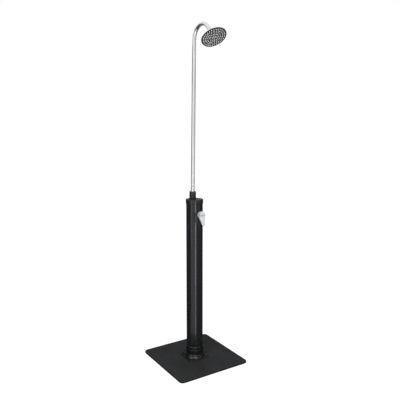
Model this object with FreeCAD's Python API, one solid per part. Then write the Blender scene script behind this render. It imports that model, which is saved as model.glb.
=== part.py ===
import FreeCAD, Part
import math
import os
from FreeCAD import Placement, Rotation, Vector

# Outdoor shower post: a square base, a column that holds sun-warmed water, a single-lever
# mixing tap on the column and a swivelling gooseneck riser that carries a round rain head.
# Millimetres, +Z up. The origin is the middle of the footprint, on the ground, and the tap
# and the head face -Y.

# ---- Driving dimensions ------------------------------------------------------------------
# Base: a pressed pan on rubber feet
base_size = 500.0
base_corner_r = 26.0
base_height = 14.0
base_sheet = 3.0
base_edge_r = 6.0
skirt_gap = 1.5
foot_r = 20.0
foot_inset = 44.0
middle_foot_r = 30.0
stiffener_width = 30.0
stiffener_depth = 8.0
stiffener_sheet = 2.0
stiffener_offset = 100.0
stiffener_end_gap = 12.0

# Foot flange, which holds the column in a socket
flange_size = 142.0
flange_corner_r = 12.0
flange_thick = 6.0
step_r = 70.0
step_height = 6.0
bead_r = 65.0
bead_width = 7.0
bead_height = 20.0
collar_r = 57.5
collar_height = 80.0
collar_rim = 8.0
groove_drop = 18.0
groove_width = 4.0
groove_depth = 1.0
socket_floor = 10.0
socket_lip = 7.0
bolt_offset = 57.5

# M8 fixings of the foot
bolt_r = 4.0
bolt_head_r = 10.0
bolt_head_height = 4.0
nut_flats = 13.0
nut_height = 6.5
washer_r = 8.4
washer_thick = 1.6

# Column
tube_r = 53.0
tube_wall = 3.2
post_height = 1061.0
plug_lip = 3.0
plug_depth = 18.0
plug_wall = 5.0
cap_r = 55.5
cap_thick = 5.0
cap_skirt = 30.0
cap_taper = 6.0
cap_edge_r = 2.5
spigot_depth = 22.0
spigot_wall = 4.6
ring_groove_depth = 2.7
ring_groove_width = 4.0

# Riser and its gland
riser_r = 12.0
riser_wall = 1.0
riser_offset = 22.0
riser_lean = 1.2
riser_straight = 981.0
bend_r = 89.0
arm_pitch = 42.0
arm_reach = 54.0
gland_nut_r = 21.6
gland_nut_top_r = 21.0
gland_nut_height = 46.0
gland_nut_rise = 0.9
gland_body_r = 16.5
gland_body_height = 32.0
gland_flange_r = 18.6
gland_flange_thick = 3.4
gland_shank_r = 14.8
gland_shank_depth = 27.0
gland_washer_thick = 2.6
gland_nut_flats = 36.0
gland_back_nut_height = 8.0
swivel_ring_r = 15.5
swivel_ring_height = 4.2
thrust_thick = 1.1
spigot_bore_r = 7.0
riser_insert = 26.0
seal_depth = 1.6
seal_width = 2.4
seal_places = (8.0, 16.0)

# Ball joint and rain head, measured along their axes from the middle of the ball. The head
# hangs steeper than the arm: the pitches are degrees below the level.
head_pitch = 54.0
ball_r = 10.0
ball_stem_r = 6.0
ball_stem_length = 16.2
stem_thread_r = 8.0
stem_thread_length = 9.8
stem_bore_r = 4.0
swivel_nut_r = 15.5
swivel_nut_back = 17.0
swivel_nut_front = 7.5
thread_r = 10.4
thread_start = 8.2
seat_bore_r = 7.0
head_tilt_limit = 15.0
neck_washer_r = 9.5
neck_washer_thick = 1.9
head_r = 77.5
head_face = 48.0
neck_r = 12.5
neck_end = 25.0
shoulder_r = 62.0
shoulder_at = 31.5
rim_at = 42.0
shell_wall = 1.6
plate_thick = 2.2
mat_thick = 1.2
nozzle_rings = 5
nozzle_pitch = 12.9
nozzle_base_r = 2.1
nozzle_tip_r = 1.4
nozzle_stand = 2.2

# Tap, measured outwards from the column's axis
tap_drop = 90.0
saddle_half_width = 30.0
saddle_half_height = 44.0
saddle_drop = 20.0
saddle_thick = 5.6
saddle_edge_r = 2.5
gasket_thick = 1.2
pad_r = 21.0
pad_face = 60.3
neck_tap_r = 14.5
neck_tap_end = 75.5
barrel_r = 18.5
barrel_back = 10.0
locknut_r = 17.0
locknut_height = 4.0
saddle_screw_x = 13.0
saddle_screw_drop = 35.0
saddle_screw_r = 2.0
saddle_screw_head_r = 3.8
saddle_screw_head_height = 2.4
port_x = 7.0
port_depth = 28.0
port_reach = 24.0
port_socket = 8.0
port_boss_r = 8.5
outlet_drop = 6.0
water_way_r = 3.2
hose_r = 6.0
hose_bore_r = 4.2
pickup_r = 5.0
pickup_bore_r = 3.5
pickup_stop = 10.0

# Cartridge of the tap
cartridge_r = 12.5
cartridge_bore_r = 11.3
cartridge_floor = 46.0
cartridge_base = 4.0
cartridge_top = 81.4
cartridge_lip = 1.7
cartridge_mouth_r = 10.3
disc_gasket_thick = 0.9
disc_r = 11.0
disc_thick = 3.5
moving_disc_r = 8.4
disc_travel = 4.4
pivot_at = 71.5
pivot_arm = 10.0
spindle_side = 8.0
spindle_ball_r = 3.0
spindle_neck_r = 2.0
spindle_end = 94.8
pivot_pin_r = 1.5
pivot_pin_length = 20.0
slider_thick = 5.5
slider_half_width = 7.5
rotor_top = 79.5
dome_nut_r = 19.3
dome_nut_top = 83.5
lift_limit = 25.0

# Lever handle
hood_r = 22.0
hood_wall = 1.5
hood_back = 69.0
hood_relief = 6.0
hood_front = 96.3
hood_edge_r = 3.0
hood_slant = 27.0
hood_face_rise = 5.0
hood_step_drop = 6.0
boss_r = 6.8
boss_back = 88.5
grub_r = 2.5
grub_at = 91.0
grub_length = 6.0
grub_angle = 165.0
blade_slope = 22.0
blade_bevel = 0.42
blade_corner_r = 0.8
# Sections of the blade: drop below the tap's axis, distance out, width, thickness
blade_root = (4.0, 84.0, 42.0, 16.0)
blade_tip = (64.5, 108.5, 15.0, 6.5)
blade_end = (66.0, 109.1, 12.5, 3.6)

# Water inlet and drain, low on the back of the column
inlet_height = 160.0
inlet_thread_r = 10.48
inlet_thread_length = 15.0
inlet_bore_r = 5.0
inlet_shank_r = 8.2
inlet_flats = 27.0
inlet_hex_height = 6.0
inlet_washer_r = 12.5
inlet_washer_thick = 2.0
tee_r = 11.0
tee_end = 4.0
tee_branch_at = 22.0
tee_branch_height = 26.0
drain_height = 114.0
drain_head_r = 12.0
drain_head_height = 8.0
drain_shank_r = 7.0
drain_nut_flats = 22.0
drain_nut_height = 6.0
drain_bore_depth = 20.0

# Clearances
seat_fit = 0.2
turn_fit = 0.3
running_fit = 0.08
hole_fit = 0.5
face_gap = 0.1

# ---- Frames and levels that follow from them ----------------------------------------------
FULL_TURN = 360.0
BIG = 2000.0

tube_bore_r = tube_r - tube_wall
bolt_top = base_height + flange_thick
socket_level = base_height + socket_floor
tube_start = socket_level + plug_lip
tube_end = post_height - cap_thick
tap_height = post_height - tap_drop
turn_angle = 90.0 + arm_pitch - riser_lean
gasket_r = tube_r + gasket_thick
saddle_r = gasket_r + saddle_thick
slider_at = cartridge_floor + cartridge_base + 2 * face_gap + disc_gasket_thick + 2 * disc_thick


def tilted(x, y, z, angle):
    """Frame at a point, with its Z axis turned from +Z towards -Y."""
    return Placement(Vector(x, y, z), Rotation(Vector(1, 0, 0), angle))


POST = tilted(0, 0, 0, 0)
TAP = tilted(0, 0, tap_height, 90.0)
INLET = tilted(0, 0, inlet_height, -90.0)
DRAIN = tilted(0, 0, drain_height, -90.0)
RISER = tilted(0, riser_offset, post_height, riser_lean)

turn = math.radians(turn_angle)
arm_direction = Vector(0, -math.sin(turn), math.cos(turn))
bend_end = Vector(0, bend_r * (math.cos(turn) - 1.0), riser_straight + bend_r * math.sin(turn))
ball_middle = bend_end + arm_direction * arm_reach
ARM = RISER.multiply(tilted(ball_middle.x, ball_middle.y, ball_middle.z, turn_angle))
HEAD = ARM.multiply(tilted(0, 0, 0, head_pitch - arm_pitch))

nodes = {}


# ---- Shape helpers ------------------------------------------------------------------------
def put(shape, frame):
    """A copy of a shape, moved from its own frame into the post's."""
    moved = shape.copy()
    moved.Placement = frame.multiply(shape.Placement)
    return moved


def node(name, shapes, frame=POST):
    """Keep a shape, or a list of like solids, as one named node."""
    if isinstance(shapes, list):
        shapes = Part.makeCompound(shapes)
    nodes[name] = put(shapes, frame)


def outline(corners, point):
    """Closed wire through corners (u, v) or (u, v, radius of the rounded corner)."""
    count = len(corners)
    runs = []
    for index, corner in enumerate(corners):
        here = Vector(corner[0], corner[1], 0)
        before = Vector(*corners[index - 1][:2], 0)
        after = Vector(*corners[(index + 1) % count][:2], 0)
        radius = corner[2] if len(corner) > 2 else 0.0
        if not radius:
            runs.append((here, None, here))
            continue
        back = (before - here).normalize()
        ahead = (after - here).normalize()
        half = back.getAngle(ahead) / 2.0
        middle = (back + ahead).normalize()
        reach = radius / math.tan(half)
        crown = here + middle * (radius / math.sin(half) - radius)
        runs.append((here + back * reach, crown, here + ahead * reach))
    edges = []
    for index, (start, crown, end) in enumerate(runs):
        last = runs[index - 1][2]
        if last.distanceToPoint(start) > 1e-6:
            edges.append(Part.LineSegment(point(last), point(start)).toShape())
        if crown is not None:
            edges.append(Part.Arc(point(start), point(crown), point(end)).toShape())
    return Part.Wire(edges)


def turned(corners):
    """Solid of revolution about Z from an outline of (radius, height, rounding)."""
    face = Part.Face(outline(corners, lambda p: Vector(p.x, 0, p.y)))
    return face.revolve(Vector(0, 0, 0), Vector(0, 0, 1), FULL_TURN)


def rod(radius, low, high, x=0.0, y=0.0):
    """Solid cylinder along Z."""
    return Part.makeCylinder(radius, high - low, Vector(x, y, low))


def ring(outer_r, inner_r, low, high, x=0.0, y=0.0):
    """Hollow cylinder along Z."""
    return rod(outer_r, low, high, x, y).cut(rod(inner_r, low, high, x, y))


def rod_y(radius, low, high, x=0.0, z=0.0):
    """Solid cylinder along Y."""
    return Part.makeCylinder(radius, high - low, Vector(x, low, z), Vector(0, 1, 0))


def hexagon(flats, low, high, x=0.0, y=0.0):
    """Hexagonal prism along Z."""
    corner_r = flats / math.sqrt(3.0)
    corners = [Vector(x + corner_r * math.cos(math.radians(60 * side)),
                      y + corner_r * math.sin(math.radians(60 * side)), low) for side in range(6)]
    face = Part.Face(Part.makePolygon(corners + corners[:1]))
    return face.extrude(Vector(0, 0, high - low))


def block(half_x, half_y, low, high):
    """Box about the Z axis."""
    return Part.makeBox(2 * half_x, 2 * half_y, high - low, Vector(-half_x, -half_y, low))


def rounded_block(size, corner_r, low, high):
    """Square prism with rounded corners."""
    half = size / 2.0
    corners = [(half, half, corner_r), (-half, half, corner_r),
               (-half, -half, corner_r), (half, -half, corner_r)]
    face = Part.Face(outline(corners, lambda p: Vector(p.x, p.y, low)))
    return face.extrude(Vector(0, 0, high - low))


def edges_at(shape, level):
    """Edges that lie at one height."""
    return [edge for edge in shape.Edges
            if all(abs(vertex.Z - level) < 1e-6 for vertex in edge.Vertexes)]


def edges_on_round(shape, radius):
    """Edges whose ends and middle lie at one distance from the column's axis."""
    def on_round(point):
        """Whether a point lies at that distance."""
        return abs(math.hypot(point.x, point.y) - radius) < 1e-3

    return [edge for edge in shape.Edges
            if on_round(edge.valueAt((edge.FirstParameter + edge.LastParameter) / 2))
            and all(on_round(vertex.Point) for vertex in edge.Vertexes)]


def edges_facing_out(shape, out):
    """Edges that lie at one distance out along -Y."""
    return [edge for edge in shape.Edges
            if all(abs(vertex.Y + out) < 1e-6 for vertex in edge.Vertexes)]


def column_round(radius):
    """The space inside a radius about the column's axis."""
    return rod(radius, -BIG, BIG)


def corner_places(offset):
    """The four corners of a square about the Z axis."""
    return [(x, y) for x in (-offset, offset) for y in (-offset, offset)]


def seal(outer_r, inner_r, level, width):
    """Square-cut rubber ring about the Z axis, slightly free in its groove."""
    half = width / 2.0 - face_gap
    return ring(outer_r - face_gap / 2, inner_r + face_gap / 2, level - half, level + half)


def pipe(points, radii, outer_r, inner_r):
    """Bent pipe along straight runs that are joined by tangent arcs."""
    corners = list(points)
    edges = []
    last = corners[0]
    for index, radius in enumerate(radii, start=1):
        back = (corners[index - 1] - corners[index]).normalize()
        ahead = (corners[index + 1] - corners[index]).normalize()
        half = back.getAngle(ahead) / 2.0
        reach = radius / math.tan(half)
        crown = corners[index] + (back + ahead).normalize() * (radius / math.sin(half) - radius)
        start = corners[index] + back * reach
        end = corners[index] + ahead * reach
        edges.append(Part.LineSegment(last, start).toShape())
        edges.append(Part.Arc(start, crown, end).toShape())
        last = end
    edges.append(Part.LineSegment(last, corners[-1]).toShape())
    path = Part.Wire(edges)
    direction = corners[1] - corners[0]

    def swept(radius):
        """Solid round bar along the path."""
        section = Part.Wire(Part.makeCircle(radius, corners[0], direction))
        return path.makePipeShell([section], True, False)

    return swept(outer_r).cut(swept(inner_r))


# ---- Base ---------------------------------------------------------------------------------
def make_base():
    """Pressed pan with its stiffeners and feet."""
    underside = base_height - base_sheet
    outside = rounded_block(base_size, base_corner_r, skirt_gap, base_height)
    outside = outside.makeFillet(base_edge_r, edges_at(outside, base_height))
    inside = rounded_block(base_size - 2 * base_sheet, base_corner_r - base_sheet,
                           skirt_gap, underside)
    inside = inside.makeFillet(base_edge_r - base_sheet, edges_at(inside, underside))
    pan = outside.cut(inside)
    for x, y in corner_places(bolt_offset):
        pan = pan.cut(rod(bolt_r + hole_fit, 0, base_height, x, y))
    node("base_plate", pan)

    length = base_size - 2 * (base_sheet + stiffener_end_gap)
    stiffeners = []
    for side in (-1, 1):
        channel = block(length / 2.0, stiffener_width / 2.0, underside - stiffener_depth, underside)
        hollow = block(length / 2.0, stiffener_width / 2.0 - stiffener_sheet,
                       underside - stiffener_depth, underside - stiffener_sheet)
        stiffeners.append(put(channel.cut(hollow), tilted(0, side * stiffener_offset, 0, 0)))
    node("base_stiffeners", stiffeners)

    feet = []
    foot = turned([(0, 0), (foot_r - 2, 0, 1.5), (foot_r, underside), (0, underside)])
    for x, y in corner_places(base_size / 2.0 - foot_inset):
        feet.append(put(foot, tilted(x, y, 0, 0)))
    feet.append(turned([(0, 0), (middle_foot_r - 2, 0, 1.5), (middle_foot_r, underside),
                        (0, underside)]))
    node("base_feet", feet)


def make_foot_flange():
    """Square flange with a round step, a bead and the collar that takes the column."""
    socket_r = tube_r + seat_fit
    collar_top = base_height + collar_height
    bead_low = base_height + bead_height
    bead_high = bead_low + bead_width
    groove_top = collar_top - groove_drop
    groove_low = groove_top - groove_width
    step_top = bolt_top + step_height
    body = turned([
        (socket_r - socket_lip, base_height), (step_r, base_height), (step_r, step_top, 2.5),
        (bead_r + 1.5, step_top, 1.5), (bead_r - 2.5, bead_low, 1.0),
        (bead_r, bead_low, 2.0), (bead_r, bead_high, 3.0),
        (collar_r, bead_high, 1.2),
        (collar_r, groove_low), (collar_r - groove_depth, groove_low + groove_depth),
        (collar_r - groove_depth, groove_top - groove_depth), (collar_r, groove_top),
        (collar_r, collar_top - collar_rim), (collar_r + 0.8, collar_top - collar_rim + 1.0),
        (collar_r + 0.8, collar_top, 2.5),
        (socket_r, collar_top), (socket_r, socket_level), (socket_r - socket_lip, socket_level)])
    plate = rounded_block(flange_size, flange_corner_r, base_height, bolt_top)
    plate = plate.makeFillet(2.0, edges_at(plate, bolt_top))
    plate = plate.cut(rod(socket_r - socket_lip, base_height, bolt_top))
    flange = plate.fuse(body).removeSplitter()
    for x, y in corner_places(bolt_offset):
        flange = flange.cut(rod(bolt_r + hole_fit, base_height, bolt_top, x, y))
    node("foot_flange", flange)


def make_foot_fixings():
    """Carriage bolts from below, washers and nuts."""
    underside = base_height - base_sheet
    bolt_end = bolt_top + washer_thick + nut_height + 2.0
    bolt = turned([(0, underside - bolt_head_height), (bolt_head_r - 4, underside - bolt_head_height, 1.0),
                   (bolt_head_r, underside), (bolt_r, underside), (bolt_r, bolt_end, 0.8),
                   (0, bolt_end)])
    washer = ring(washer_r, bolt_r + seat_fit, bolt_top, bolt_top + washer_thick)
    nut_low = bolt_top + washer_thick
    nut = hexagon(nut_flats, nut_low, nut_low + nut_height)
    crown = turned([(0, nut_low), (nut_flats / 2.0 + 1.4, nut_low),
                    (nut_flats / 2.0 + 1.4, nut_low + nut_height, 1.3), (0, nut_low + nut_height)])
    nut = nut.common(crown).cut(rod(bolt_r + face_gap, nut_low, nut_low + nut_height))
    for name, shape in (("flange_bolts", bolt), ("flange_washers", washer), ("flange_nuts", nut)):
        node(name, [put(shape, tilted(x, y, 0, 0)) for x, y in corner_places(bolt_offset)])


# ---- Column -------------------------------------------------------------------------------
def make_column():
    """Column tube, its bottom plug and its cap, each with a rubber ring."""
    tube = ring(tube_r, tube_bore_r, tube_start, tube_end)
    tube = tube.cut(put(rod(neck_tap_r + hole_fit, 0, 2 * tube_r), TAP))
    for x in (-saddle_screw_x, saddle_screw_x):
        hole = rod(saddle_screw_r + face_gap, 0, 2 * tube_r, x, -saddle_screw_drop)
        tube = tube.cut(put(hole, TAP))
    tube = tube.cut(put(rod(inlet_shank_r + hole_fit, 0, 2 * tube_r), INLET))
    tube = tube.cut(put(rod(drain_shank_r + hole_fit, 0, 2 * tube_r), DRAIN))
    node("column_tube", tube)

    fit_r = tube_bore_r - seat_fit
    floor_r = fit_r - ring_groove_depth
    plug_top = socket_level + plug_depth
    groove_low = tube_start + plug_wall
    node("column_plug", turned([
        (0, socket_level + plug_wall), (floor_r - plug_wall, socket_level + plug_wall, 2.0),
        (floor_r - plug_wall, socket_level), (tube_r - seat_fit, socket_level),
        (tube_r - seat_fit, tube_start), (fit_r, tube_start), (fit_r, groove_low),
        (floor_r, groove_low), (floor_r, groove_low + ring_groove_width),
        (fit_r, groove_low + ring_groove_width), (fit_r, plug_top, 1.5), (0, plug_top)]))
    node("plug_seal", seal(tube_bore_r, floor_r, groove_low + ring_groove_width / 2,
                           ring_groove_width))

    skirt_low = post_height - cap_skirt
    groove_high = tube_end - plug_wall - ring_groove_width
    spigot_low = tube_end - spigot_depth
    cap = turned([
        (0, post_height), (cap_r, post_height, cap_edge_r), (cap_r, skirt_low + cap_taper, 3.0),
        (tube_r + seat_fit + 1.2, skirt_low), (tube_r + seat_fit, skirt_low),
        (tube_r + seat_fit, tube_end), (fit_r, tube_end), (fit_r, groove_high + ring_groove_width),
        (floor_r, groove_high + ring_groove_width), (floor_r, groove_high), (fit_r, groove_high),
        (fit_r, spigot_low, 1.0), (fit_r - spigot_wall, spigot_low), (fit_r - spigot_wall, tube_end),
        (0, tube_end)])
    shank_hole = put(rod(gland_shank_r + 2 * hole_fit, -gland_shank_depth, gland_shank_depth), RISER)
    node("top_cap", cap.cut(shank_hole))
    node("cap_seal", seal(tube_bore_r, floor_r, groove_high + ring_groove_width / 2,
                          ring_groove_width))


# ---- Riser gland --------------------------------------------------------------------------
def make_gland():
    """Gland through the cap, in which the riser turns between two thrust washers."""
    bore_r = riser_r + face_gap
    flange_low = gland_washer_thick
    flange_top = flange_low + gland_flange_thick
    pocket = gland_body_height - riser_insert - 30.0
    shank_low = -gland_shank_depth
    socket_r = hose_r + face_gap
    node("gland_body", turned([
        (hose_bore_r + 0.8, shank_low - 5.0), (socket_r, shank_low - 5.0),
        (socket_r, shank_low - 5.0 - port_socket), (port_boss_r, shank_low - 5.0 - port_socket),
        (port_boss_r, shank_low), (gland_shank_r, shank_low, 1.0), (gland_shank_r, flange_low),
        (gland_flange_r, flange_low), (gland_flange_r, flange_top, 1.0),
        (gland_body_r, flange_top), (gland_body_r, gland_body_height),
        (bore_r, gland_body_height), (bore_r, pocket), (hose_bore_r + 0.8, pocket)]), RISER)

    cap_face = Part.makeBox(BIG, BIG, BIG, Vector(-BIG / 2, -BIG / 2, post_height))
    washer = put(ring(gland_flange_r, gland_shank_r + hole_fit, -gland_washer_thick / 2,
                      gland_washer_thick), RISER)
    node("gland_washer", washer.common(cap_face))

    tilt_drop = gland_nut_flats / math.sqrt(3.0) * math.sin(math.radians(riser_lean))
    nut_top = -cap_thick - tilt_drop - face_gap
    back_nut = hexagon(gland_nut_flats, nut_top - gland_back_nut_height, nut_top)
    back_nut = back_nut.cut(rod(gland_shank_r + face_gap, nut_top - gland_back_nut_height, nut_top))
    node("gland_back_nut", back_nut, RISER)

    lower_washer = gland_body_height + face_gap
    ring_low = lower_washer + thrust_thick + face_gap
    ring_top = ring_low + swivel_ring_height
    upper_washer = ring_top + face_gap
    lip = upper_washer + thrust_thick + face_gap
    nut_seat = flange_top + 4 * face_gap
    node("gland_nut", turned([
        (gland_flange_r + turn_fit, gland_nut_rise), (gland_nut_r, gland_nut_rise, 0.8),
        (gland_nut_top_r, gland_nut_height, 2.0), (riser_r + hole_fit, gland_nut_height, 0.8),
        (riser_r + hole_fit, lip), (gland_body_r + seat_fit, lip),
        (gland_body_r + seat_fit, nut_seat), (gland_flange_r + turn_fit, nut_seat)]), RISER)

    washer_in = riser_r + turn_fit
    node("thrust_washers", [ring(swivel_ring_r, washer_in, low, low + thrust_thick)
                            for low in (lower_washer, upper_washer)], RISER)
    node("swivel_ring", ring(swivel_ring_r, riser_r + 0.02, ring_low, ring_top), RISER)

    spigot_r = riser_r - seat_fit
    floor_r = spigot_r - seal_depth
    stub_r = riser_r - riser_wall - face_gap
    spigot_low = pocket + 2.0
    spigot_top = spigot_low + riser_insert
    half_groove = seal_width / 2.0
    corners = [(spigot_bore_r, spigot_low), (spigot_r, spigot_low, 0.6)]
    for place in reversed(seal_places):
        level = spigot_top - place
        corners += [(spigot_r, level - half_groove), (floor_r, level - half_groove),
                    (floor_r, level + half_groove), (spigot_r, level + half_groove)]
    corners += [(spigot_r, spigot_top), (stub_r, spigot_top), (stub_r, spigot_top + riser_r),
                (spigot_bore_r, spigot_top + riser_r)]
    node("riser_spigot", turned(corners), RISER)
    node("riser_seals", [seal(bore_r, floor_r, spigot_top - place, seal_width)
                         for place in seal_places], RISER)
    return spigot_top


def make_riser(start):
    """Gooseneck tube: straight, one long bend and a short arm to the ball joint."""
    arm_end = ball_middle - arm_direction * (swivel_nut_back + 3.0)
    line_up = Part.LineSegment(Vector(0, 0, start), Vector(0, 0, riser_straight)).toShape()
    centre = Vector(0, -bend_r, riser_straight)
    crown = centre + Vector(0, math.cos(turn / 2), math.sin(turn / 2)) * bend_r
    bend = Part.Arc(Vector(0, 0, riser_straight), crown, bend_end).toShape()
    arm = Part.LineSegment(bend_end, arm_end).toShape()
    path = Part.Wire([line_up, bend, arm])
    walls = []
    for radius in (riser_r, riser_r - riser_wall):
        section = Part.Wire(Part.makeCircle(radius, Vector(0, 0, start), Vector(0, 0, 1)))
        walls.append(path.makePipeShell([section], True, False))
    node("riser_tube", walls[0].cut(walls[1]), RISER)


# ---- Ball joint and head ------------------------------------------------------------------
def make_ball_joint():
    """Threaded arm end, nut, seat ring and ball, with the ball's hollow stem."""
    tube_stop = -swivel_nut_back - 3.0
    thread_end = -thread_start
    insert_r = riser_r - riser_wall - face_gap
    node("arm_fitting", turned([
        (spigot_bore_r, tube_stop - 4.5), (insert_r, tube_stop - 4.5), (insert_r, tube_stop),
        (riser_r, tube_stop), (riser_r, -swivel_nut_back - face_gap),
        (thread_r, -swivel_nut_back - face_gap), (thread_r, thread_end),
        (spigot_bore_r, thread_end)]), ARM)

    cavity_r = ball_r + running_fit
    swing = math.radians(head_tilt_limit)
    mouth_r = (ball_stem_r + swivel_nut_front * math.sin(swing)) / math.cos(swing) + turn_fit
    nut = turned([(0, -swivel_nut_back), (swivel_nut_r - 0.9, -swivel_nut_back, 1.5),
                  (swivel_nut_r, -swivel_nut_back + 5.0), (swivel_nut_r, swivel_nut_front - 4.5, 2.0),
                  (mouth_r + 2.6, swivel_nut_front, 1.0), (0, swivel_nut_front)])
    nut = nut.cut(rod(thread_r + face_gap, -swivel_nut_back, thread_end))
    nut = nut.cut(rod(ball_r + seat_fit, thread_end, 0))
    nut = nut.cut(Part.makeSphere(cavity_r))
    nut = nut.cut(rod(mouth_r, 0, swivel_nut_front))
    node("swivel_nut", nut, ARM)

    seat = ring(ball_r + seat_fit - running_fit, seat_bore_r, thread_end + seat_fit, -ball_r * 0.3)
    node("ball_seat", seat.cut(Part.makeSphere(cavity_r)), ARM)

    thread_stop = ball_stem_length + stem_thread_length
    ball = Part.makeSphere(ball_r).fuse(rod(ball_stem_r, 0, ball_stem_length))
    ball = ball.fuse(rod(stem_thread_r, ball_stem_length, thread_stop))
    ball = ball.cut(rod(stem_bore_r, -ball_r, thread_stop))
    node("ball_stem", ball, HEAD)

    washer_top = ball_stem_length - face_gap
    node("neck_washer", ring(neck_washer_r, ball_stem_r + turn_fit,
                             washer_top - neck_washer_thick, washer_top), HEAD)


def nozzle_places():
    """Centres of the nozzles: one in the middle, then rings of six more each."""
    places = [(0.0, 0.0)]
    for circle in range(1, nozzle_rings + 1):
        count = 6 * circle
        for step in range(count):
            angle = 2.0 * math.pi * step / count
            places.append((circle * nozzle_pitch * math.cos(angle),
                           circle * nozzle_pitch * math.sin(angle)))
    return places


def make_head():
    """Shell, nozzle plate and the rubber mat whose nozzles stand through the plate."""
    plate_back = head_face - plate_thick
    mat_front = plate_back - face_gap
    mat_back = mat_front - mat_thick
    neck_start = ball_stem_length + seat_fit
    bore_r = stem_thread_r + face_gap
    inner_r = head_r - shell_wall
    ledge_r = inner_r - 3.0
    node("head_shell", turned([
        (bore_r, neck_start), (neck_r, neck_start, 1.2), (neck_r, neck_end, 7.0),
        (shoulder_r, shoulder_at, 45.0), (head_r, rim_at, 3.0), (head_r, plate_back - face_gap),
        (inner_r, plate_back - face_gap), (inner_r, mat_back - face_gap),
        (ledge_r, mat_back - face_gap), (ledge_r, rim_at - 0.5),
        (shoulder_r - 0.4, shoulder_at + shell_wall, 43.0),
        (bore_r, neck_end + shell_wall)]), HEAD)

    places = nozzle_places()
    plate = turned([(0, plate_back), (head_r - 0.4, plate_back), (head_r - 0.4, head_face, 1.4),
                    (0, head_face)])
    holes = [rod(nozzle_base_r + seat_fit, plate_back, head_face, x, y) for x, y in places]
    node("nozzle_plate", plate.cut(Part.makeCompound(holes)), HEAD)

    mat = rod(inner_r - seat_fit, mat_back, mat_front)
    tip = head_face + nozzle_stand
    cone = Part.makeCone(nozzle_base_r, nozzle_tip_r, tip - mat_back)
    nozzles = [put(cone, tilted(x, y, mat_back, 0)) for x, y in places]
    node("nozzle_mat", mat.fuse(nozzles), HEAD)


# ---- Tap ----------------------------------------------------------------------------------
def saddle_prism(margin, low, high):
    """Upright oval prism of the saddle, in the tap's frame."""
    oval = Part.Ellipse(Vector(0, 0, 0), saddle_half_height - margin, saddle_half_width - margin)
    face = Part.Face(Part.Wire(oval.toShape()))
    frame = Placement(Vector(0, -saddle_drop, low), Rotation(Vector(0, 0, 1), 90))
    return put(face.extrude(Vector(0, 0, high - low)), frame)


def saddle_screw_places():
    """Two screws beside the lever, below the tap's axis."""
    return [(-saddle_screw_x, -saddle_screw_drop), (saddle_screw_x, -saddle_screw_drop)]


def make_saddle():
    """Oval plate that follows the column's curve, with its gasket and screws."""
    plate = put(saddle_prism(0.0, tube_r / 2, 2 * tube_r), TAP)
    plate = plate.common(column_round(saddle_r))
    plate = plate.makeFillet(saddle_edge_r, edges_on_round(plate, saddle_r))
    pad = put(rod(pad_r, tube_r / 2, pad_face), TAP)
    pad = pad.makeFillet(1.0, edges_facing_out(pad, pad_face))
    saddle = plate.fuse(pad).cut(column_round(gasket_r))
    saddle = saddle.cut(put(rod(neck_tap_r + turn_fit, 0, 2 * tube_r), TAP))
    seat_at = math.sqrt(saddle_r ** 2 - saddle_screw_x ** 2) - 1.0
    for x, y in saddle_screw_places():
        saddle = saddle.cut(put(rod(saddle_screw_r + seat_fit, 0, 2 * tube_r, x, y), TAP))
        saddle = saddle.cut(put(rod(saddle_screw_head_r + seat_fit, seat_at, 2 * tube_r, x, y), TAP))
    node("tap_saddle", saddle)

    gasket = put(saddle_prism(1.0, tube_r / 2, 2 * tube_r), TAP)
    gasket = gasket.common(column_round(gasket_r - face_gap / 2)).cut(column_round(tube_r + face_gap / 2))
    gasket = gasket.cut(put(rod(neck_tap_r + hole_fit, 0, 2 * tube_r), TAP))
    for x, y in saddle_screw_places():
        gasket = gasket.cut(put(rod(saddle_screw_r + seat_fit, 0, 2 * tube_r, x, y), TAP))
    node("saddle_gasket", gasket)

    screw_tip = tube_bore_r - 8.0
    screw = turned([(0, screw_tip), (saddle_screw_r, screw_tip, 0.6), (saddle_screw_r, seat_at),
                    (saddle_screw_head_r, seat_at),
                    (saddle_screw_head_r, seat_at + saddle_screw_head_height, 1.2),
                    (0, seat_at + saddle_screw_head_height)])
    node("saddle_screws", [put(screw, tilted(x, y, 0, 0)) for x, y in saddle_screw_places()], TAP)


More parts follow.
